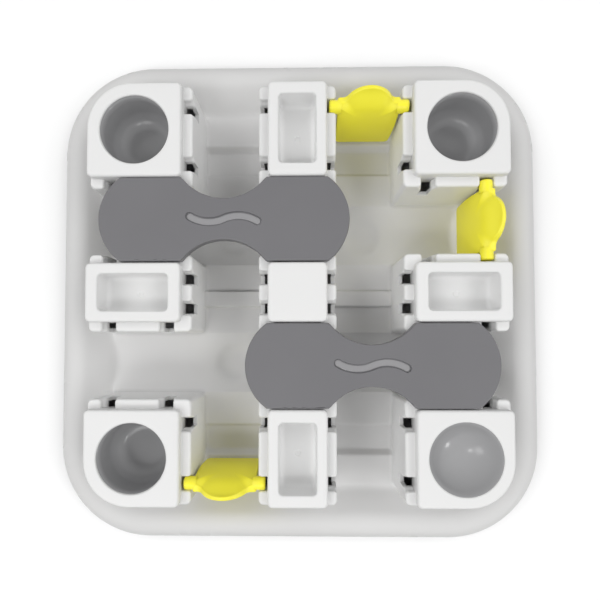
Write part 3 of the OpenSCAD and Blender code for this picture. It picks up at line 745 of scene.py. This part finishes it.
def flap_outline():
    """The right half from the foot of the blade up: rounded corner, tapered side, ear shoulder, hollow
    fillet of 4 mm and the tab's circle; the left half is its mirror image."""
    foot, wide, fillet, ear_r, foot_r, side_top = 17.5, 18.4, 4.0, 1.3, 3, 2.4
    a = np.radians(np.linspace(-90, 0, 9))
    corner = np.stack([foot - foot_r + foot_r * np.cos(a), foot_r - BLADE_L + foot_r * np.sin(a)], axis=1)
    b = np.radians(np.linspace(0, 90, 5))
    shoulder = np.stack([wide - ear_r + ear_r * np.cos(b), PIN_R - ear_r + ear_r * np.sin(b)], axis=1)
    fy = PIN_R + fillet
    fx = math.sqrt((TAB_R + fillet) ** 2 - (fy - TAB_UP) ** 2)
    meet = math.atan2(fy - TAB_UP, fx)
    c = np.linspace(-math.pi / 2, meet - math.pi, 10)
    hollow = np.stack([fx + fillet * np.cos(c), fy + fillet * np.sin(c)], axis=1)
    d = np.linspace(meet, math.pi / 2, 22)
    tab = np.stack([TAB_R * np.cos(d), TAB_UP + TAB_R * np.sin(d)], axis=1)
    side_y = np.linspace(foot_r - BLADE_L, side_top, 12)[1:]
    way_up = np.clip((side_y - foot_r + BLADE_L) / (BLADE_L - foot_r), 0, 1)
    side = np.stack([foot + (wide - foot) * way_up, side_y], axis=1)
    base_x = np.linspace(0, foot - foot_r, 8)[:-1]
    base = np.stack([base_x, np.full(len(base_x), -BLADE_L)], axis=1)
    right = np.concatenate([base, corner, side, shoulder, hollow[1:], tab[1:]])
    return np.concatenate([right, (right[::-1] * [-1, 1])[1:-1]])


def swell(z):
    """How much the plate's front stands out towards the trunnions: a cosine that brings it level with them
    at the axis and falls to nothing at the tab's top and at the blade's foot."""
    way = np.clip(np.where(z > 0, z / (TAB_R + TAB_UP), -z / BLADE_L), 0, 1)
    return (PIN_R + BLADE_OFF - BLADE_T / 2) * np.cos(math.pi / 2 * way)


def stub():
    """The right trunnion: rings along X about the axis, with a rounded edge and a pole at its end."""
    steps = 40
    a, b = np.linspace(0, 2 * math.pi, steps, endpoint=False), np.linspace(0, math.pi / 2, 6)
    edge = 1.1
    x = np.concatenate([[PIN_START] * 2, PIN_END - edge + edge * np.sin(b), [PIN_END]])
    r = np.concatenate([[0, PIN_R], PIN_R - edge + edge * np.cos(b), [0]])
    x, r = np.repeat(x[:, None], steps, axis=1), r[:, None]
    points = np.stack([x, r * np.sin(a), r * np.cos(a)], axis=-1)
    return points.reshape(-1, 3), band_faces(len(x), steps)[:, ::-1]


def flap(node, body, place, turn):
    """A flap about its axis along X: the plate's section carried round its outline, its front drawn in to a
    middle point in rings and swollen towards the axis, and two stubs, all leaned about the axis, turned to
    the flap's side of the board and set in its notches. Where the outline faces up, evened out along it,
    the swelling fades towards the edge with the fourth power of how far out a ring lies."""
    a = np.linspace(0, math.pi / 2, 5)
    edge, half, fade_most, evened = 0.7, BLADE_T / 2, 0.9, 8
    section = [(edge * (1 - math.sin(t)), -half + edge * (1 - math.cos(t))) for t in a]
    section += [(edge * (1 - math.cos(t)), half - edge + edge * math.sin(t)) for t in a]
    path = flap_outline()
    n = len(path)
    shrink = np.array([0.975, 0.95, 0.92, 0.88, 0.83, 0.77, 0.7, 0.6, 0.5, 0.4, 0.3, 0.2, 0.1, 0])
    middle = np.array([0, FRONT_MIDDLE, half])
    flat, _ = carried(path, section)
    flat = np.concatenate([flat, (middle + (flat[-n:] - middle) * shrink[:, None, None]).reshape(-1, 3)])
    faces = [*band_faces(len(flat) // n, n).tolist(), *filled(flat, [np.arange(n)])[:, ::-1].tolist()]
    along = np.roll(path, -1, axis=0) - np.roll(path, 1, axis=0)
    facing_up = np.clip(-along[:, 0] / np.linalg.norm(along, axis=1), 0, 1)
    facing_up = np.mean([np.roll(facing_up, k) for k in range(-evened, evened + 1)], axis=0)
    how_far_out = np.concatenate([np.ones(len(section)), shrink])[:, None]
    fade = 1 - fade_most * how_far_out ** 4 * facing_up
    front = flat[:, 2] + np.where(flat[:, 2] > 0, swell(flat[:, 1]) * fade.ravel(), 0)
    plate = np.stack([flat[:, 0], BLADE_OFF - front, flat[:, 1]], axis=1)
    right, stub_faces = stub()
    points = np.concatenate([plate, right, right * [-1, 1, -1]])
    faces += (stub_faces + len(plate)).tolist() + (stub_faces + len(plate) + len(right)).tolist()
    c, s = math.cos(LEAN), math.sin(LEAN)
    points = points @ np.array([[1, 0, 0], [0, c, -s], [0, s, c]])
    c, s = math.cos(math.radians(turn)), math.sin(math.radians(turn))
    points = points @ np.array([[c, s, 0], [-s, c, 0], [0, 0, 1]])
    piece = shell(node + "_blade", points + place, faces, yellow_plastic)
    weld(piece)
    even_shading(piece)
    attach(piece, body)
    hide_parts(node)


flap("flap_back", "back_flap", (LANE, NOTCH_FAR, AXIS_Z), 0)
flap("flap_right", "right_flap", (NOTCH_FAR, LANE, AXIS_Z), -90)
flap("flap_front", "front_flap", (-LANE, -NOTCH_FAR, AXIS_Z), 180)


# Floor, light and camera
# A white table top, soft light that comes in at a slant from all round, most of it from the left and right,
# while the sky overhead stays dim, and a camera that looks almost straight down from about a quarter of a
# metre above the towers.
TABLE_HALF, TABLE_LIT, TABLE_SEEN = 3, 0.1, 0.97    # metres; grey for thrown light, grey that is seen
SKY = ((0.0, 0.03), (0.48, 0.08), (0.58, 1.0), (0.82, 1.0), (0.89, 0.05), (1.0, 0.03))   # (height, level)
SKY_SIDES, SKY_ROUND = 4.2, 0.95                    # strength: times the square of X, and all round
LIT = (0, 0, 0.03)                                  # what the lamps face, in metres


def seen_directly(tree):
    """A factor of 1 for rays that show the background itself: from the camera, or by way of gloss or
    glass."""
    path = tree.nodes.new("ShaderNodeLightPath")
    last = path.outputs["Is Camera Ray"]
    for other in ("Is Glossy Ray", "Is Transmission Ray"):
        either = tree.nodes.new("ShaderNodeMath")
        either.operation = "MAXIMUM"
        tree.links.new(last, either.inputs[0])
        tree.links.new(path.outputs[other], either.inputs[1])
        last = either.outputs["Value"]
    return last


table_mesh = bpy.data.meshes.new("table")
table_corners = [(x * TABLE_HALF, y * TABLE_HALF, 0) for x, y in ((-1, -1), (1, -1), (1, 1), (-1, 1))]
table_mesh.from_pydata(table_corners, [], [(0, 1, 2, 3)])
table = bpy.data.objects.new("table", table_mesh)
bpy.context.scene.collection.objects.link(table)
table_top = bpy.data.materials.new("white_table")
table_top.use_nodes = True
tree = table_top.node_tree
tone = tree.nodes.new("ShaderNodeMix")
tone.data_type = "RGBA"
tone.inputs["A"].default_value = (TABLE_LIT, TABLE_LIT, TABLE_LIT, 1)
tone.inputs["B"].default_value = (TABLE_SEEN, TABLE_SEEN, TABLE_SEEN, 1)
shader = tree.nodes["Principled BSDF"]
tree.links.new(seen_directly(tree), tone.inputs["Factor"])
tree.links.new(tone.outputs["Result"], shader.inputs["Base Color"])
shader.inputs["Roughness"].default_value = 0.8
shader.inputs["Specular IOR Level"].default_value = 0.1
table_mesh.materials.append(table_top)

world = bpy.data.worlds.new("studio")
bpy.context.scene.world = world
world.use_nodes = True
tree = world.node_tree
place, height = tree.nodes.new("ShaderNodeTexCoord"), tree.nodes.new("ShaderNodeSeparateXYZ")
sky = tree.nodes.new("ShaderNodeValToRGB")
tree.links.new(place.outputs["Generated"], height.inputs["Vector"])
tree.links.new(height.outputs["Z"], sky.inputs["Fac"])
while len(sky.color_ramp.elements) < len(SKY):
    sky.color_ramp.elements.new(0.5)
for stop, (up, level) in zip(sky.color_ramp.elements, SKY):
    stop.position = up
    stop.color = (level, level, level, 1)
studio = tree.nodes["Background"]
sideways, boxes = tree.nodes.new("ShaderNodeMath"), tree.nodes.new("ShaderNodeMath")
sideways.operation, boxes.operation = "MULTIPLY", "MULTIPLY_ADD"
tree.links.new(height.outputs["X"], sideways.inputs[0])
tree.links.new(height.outputs["X"], sideways.inputs[1])
tree.links.new(sideways.outputs["Value"], boxes.inputs[0])
boxes.inputs[1].default_value = SKY_SIDES
boxes.inputs[2].default_value = SKY_ROUND
tree.links.new(boxes.outputs["Value"], studio.inputs["Strength"])
tree.links.new(sky.outputs["Color"], studio.inputs["Color"])
backdrop, shown = tree.nodes.new("ShaderNodeBackground"), tree.nodes.new("ShaderNodeMixShader")
backdrop.inputs["Color"].default_value = (1, 1, 1, 1)
tree.links.new(seen_directly(tree), shown.inputs["Fac"])
tree.links.new(studio.outputs["Background"], shown.inputs[1])
tree.links.new(backdrop.outputs["Background"], shown.inputs[2])
tree.links.new(shown.outputs["Shader"], tree.nodes["World Output"].inputs["Surface"])


def lamp(name, place, size, power):
    """A square area lamp at a place in metres, turned to face the board's middle."""
    data = bpy.data.lights.new(name, "AREA")
    data.size = size
    data.energy = power
    lamp_object = bpy.data.objects.new(name, data)
    bpy.context.scene.collection.objects.link(lamp_object)
    lamp_object.location = place
    lamp_object.rotation_euler = (Vector(LIT) - Vector(place)).to_track_quat("-Z", "Y").to_euler()


lamp("front_left", (-0.45, -0.7, 1.1), size=0.4, power=2)
lamp("front_right", (0.89, -0.70, 0.40), size=0.15, power=0.8)
lamp("front", (0.0, -0.59, 1.05), size=0.12, power=0.7)

# The camera was fitted to the photograph: pixels, millimetres and radians.
IMAGE_PX, FOCAL_PX, AXIS_PX = 600, 428.0, (295.0, 329.5)
CAMERA_AT = (2.35, -28.5, 296.7)
TILT = (-0.0285, -0.0155, 0.0013)
camera = bpy.data.cameras.new("camera")
camera.sensor_fit = "HORIZONTAL"
camera.sensor_width = 36
camera.lens = camera.sensor_width * FOCAL_PX / IMAGE_PX
camera.shift_x = (IMAGE_PX / 2 - AXIS_PX[0]) / IMAGE_PX
camera.shift_y = (AXIS_PX[1] - IMAGE_PX / 2) / IMAGE_PX
camera.clip_start = 0.01
eye = bpy.data.objects.new("camera", camera)
bpy.context.scene.collection.objects.link(eye)
to_eye = Matrix.Rotation(TILT[2], 3, "Z") @ Matrix.Rotation(TILT[1], 3, "Y")
to_eye = to_eye @ Matrix.Rotation(TILT[0], 3, "X")
eye.matrix_world = Matrix.Translation(Vector(CAMERA_AT) * MM) @ to_eye.transposed().to_4x4()
bpy.context.scene.camera = eye
bpy.context.scene.view_settings.view_transform = "Standard"
